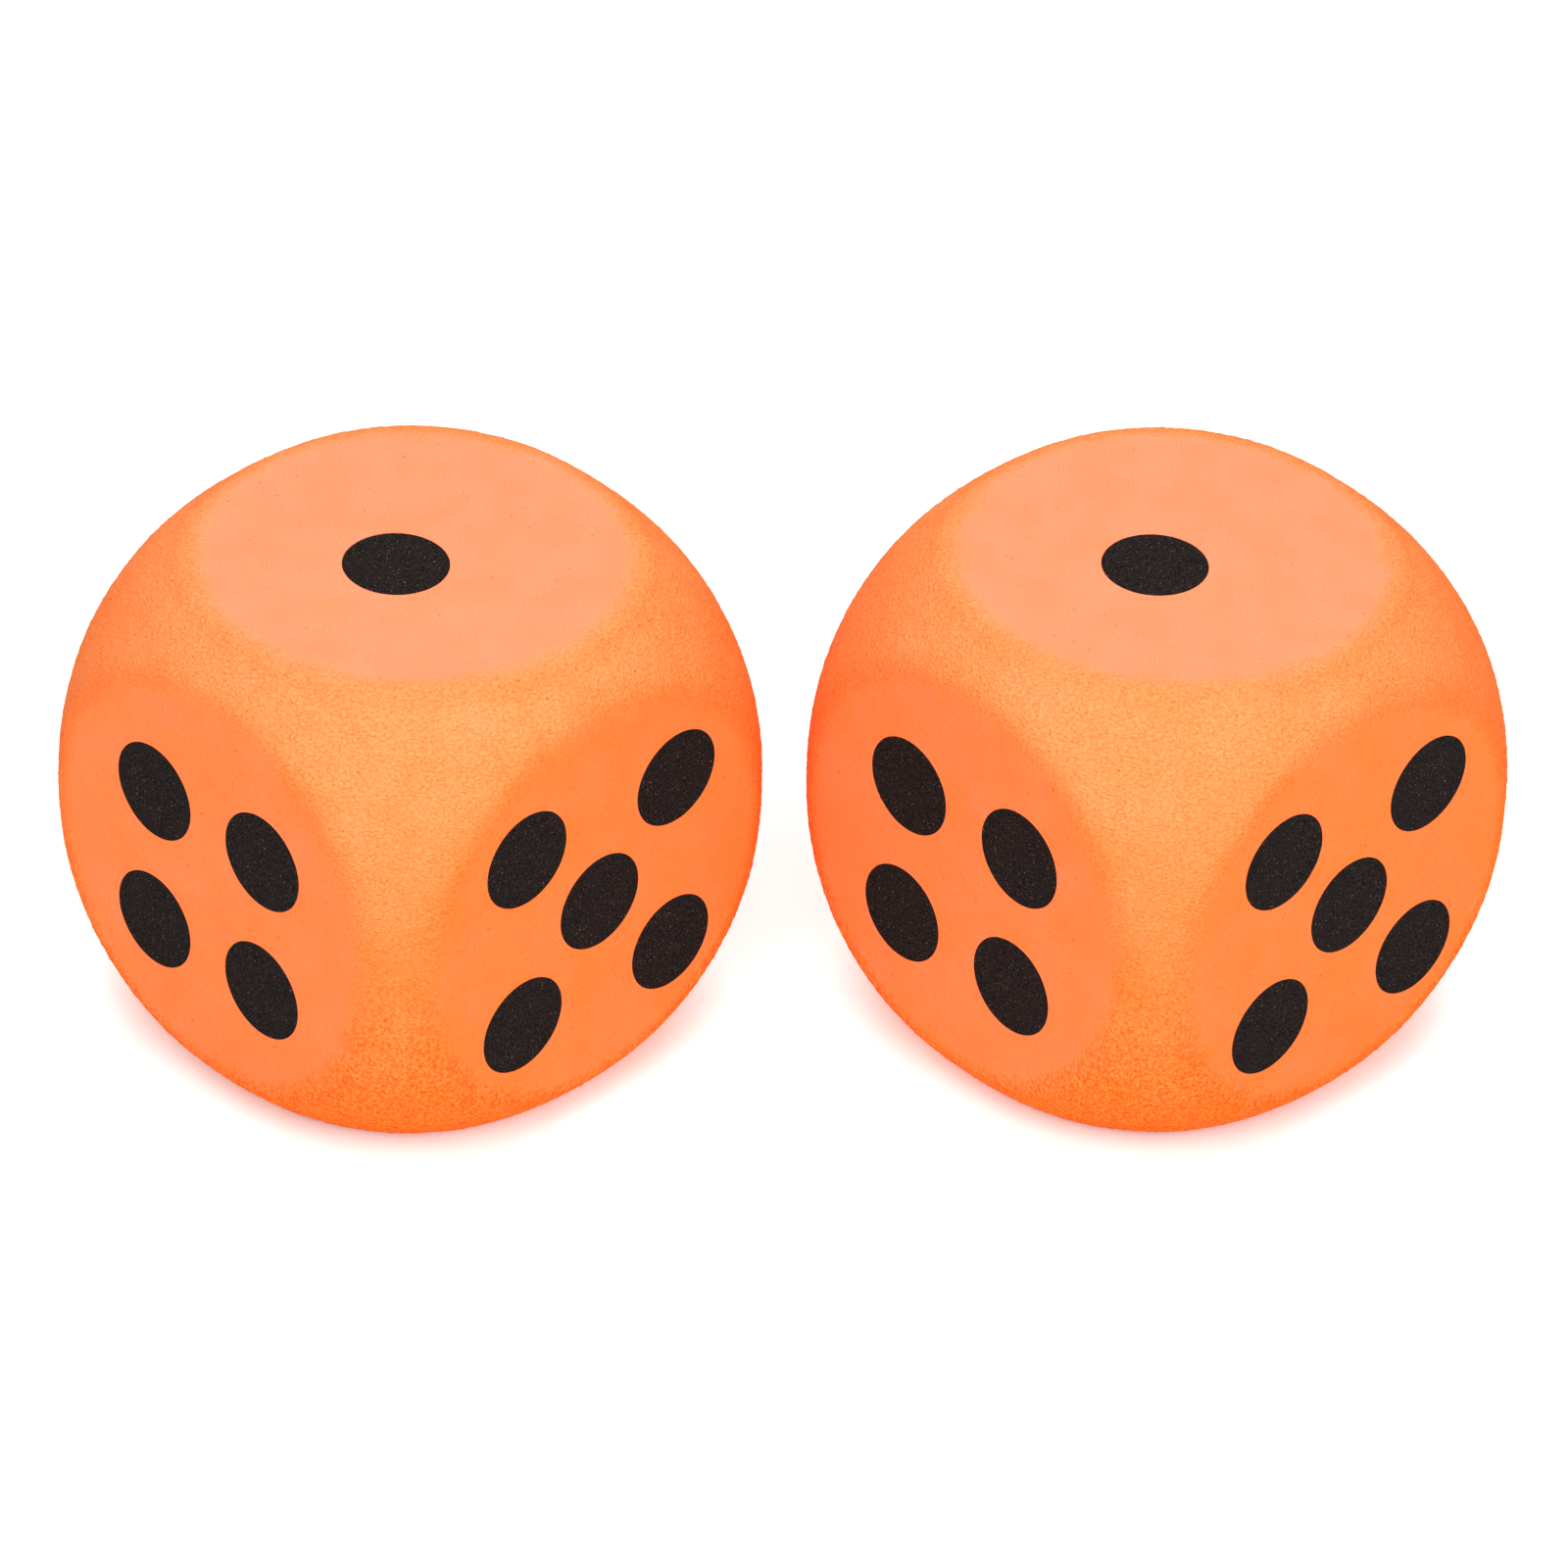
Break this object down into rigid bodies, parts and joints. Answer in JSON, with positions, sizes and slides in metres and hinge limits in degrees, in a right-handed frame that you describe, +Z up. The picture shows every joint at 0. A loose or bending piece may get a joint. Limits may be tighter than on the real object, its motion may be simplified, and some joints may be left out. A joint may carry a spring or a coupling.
{
  "type": "giant yard dice",
  "caption": "Pair of giant foam yard dice: rounded orange cubes with round flats and black disc pips let into every face.",
  "frame": {"origin": "on the ground, at the bottom centre of the pair's bounding box, midway between the two dice", "axes": "+Z up, with each die's single-pip face on top; +X from the left die to the right die; each die is turned about its own upright axis so that an upright edge faces -Y, with the four-pip face on its left and the five-pip face on its right"},
  "size_m": [0.5313, 0.2785, 0.2],
  "materials": {
    "block_foam": "closed-cell foam dyed orange through: flats smooth and dead matt, rounded parts with a fine leathery skin",
    "pip_foam": "closed-cell foam sheet, black, dead matt, with fine light specks"
  },
  "bodies": {
    "left_die": {"left_block": "block_foam", "left_five_pip_a": "pip_foam", "left_five_pip_b": "pip_foam", "left_five_pip_c": "pip_foam", "left_five_pip_d": "pip_foam", "left_five_pip_e": "pip_foam", "left_four_pip_a": "pip_foam", "left_four_pip_b": "pip_foam", "left_four_pip_c": "pip_foam", "left_four_pip_d": "pip_foam", "left_one_pip": "pip_foam", "left_six_pip_a": "pip_foam", "left_six_pip_b": "pip_foam", "left_six_pip_c": "pip_foam", "left_six_pip_d": "pip_foam", "left_six_pip_e": "pip_foam", "left_six_pip_f": "pip_foam", "left_three_pip_a": "pip_foam", "left_three_pip_b": "pip_foam", "left_three_pip_c": "pip_foam", "left_two_pip_a": "pip_foam", "left_two_pip_b": "pip_foam"},
    "right_die": {"right_block": "block_foam", "right_five_pip_a": "pip_foam", "right_five_pip_b": "pip_foam", "right_five_pip_c": "pip_foam", "right_five_pip_d": "pip_foam", "right_five_pip_e": "pip_foam", "right_four_pip_a": "pip_foam", "right_four_pip_b": "pip_foam", "right_four_pip_c": "pip_foam", "right_four_pip_d": "pip_foam", "right_one_pip": "pip_foam", "right_six_pip_a": "pip_foam", "right_six_pip_b": "pip_foam", "right_six_pip_c": "pip_foam", "right_six_pip_d": "pip_foam", "right_six_pip_e": "pip_foam", "right_six_pip_f": "pip_foam", "right_three_pip_a": "pip_foam", "right_three_pip_b": "pip_foam", "right_three_pip_c": "pip_foam", "right_two_pip_a": "pip_foam", "right_two_pip_b": "pip_foam"}
  },
  "joints": [
    {"name": "right_die_lift", "type": "slide", "parent": "left_die", "child": "right_die", "axis": [0, 0, 1], "range_m": [0, 0.25]}
  ]
}
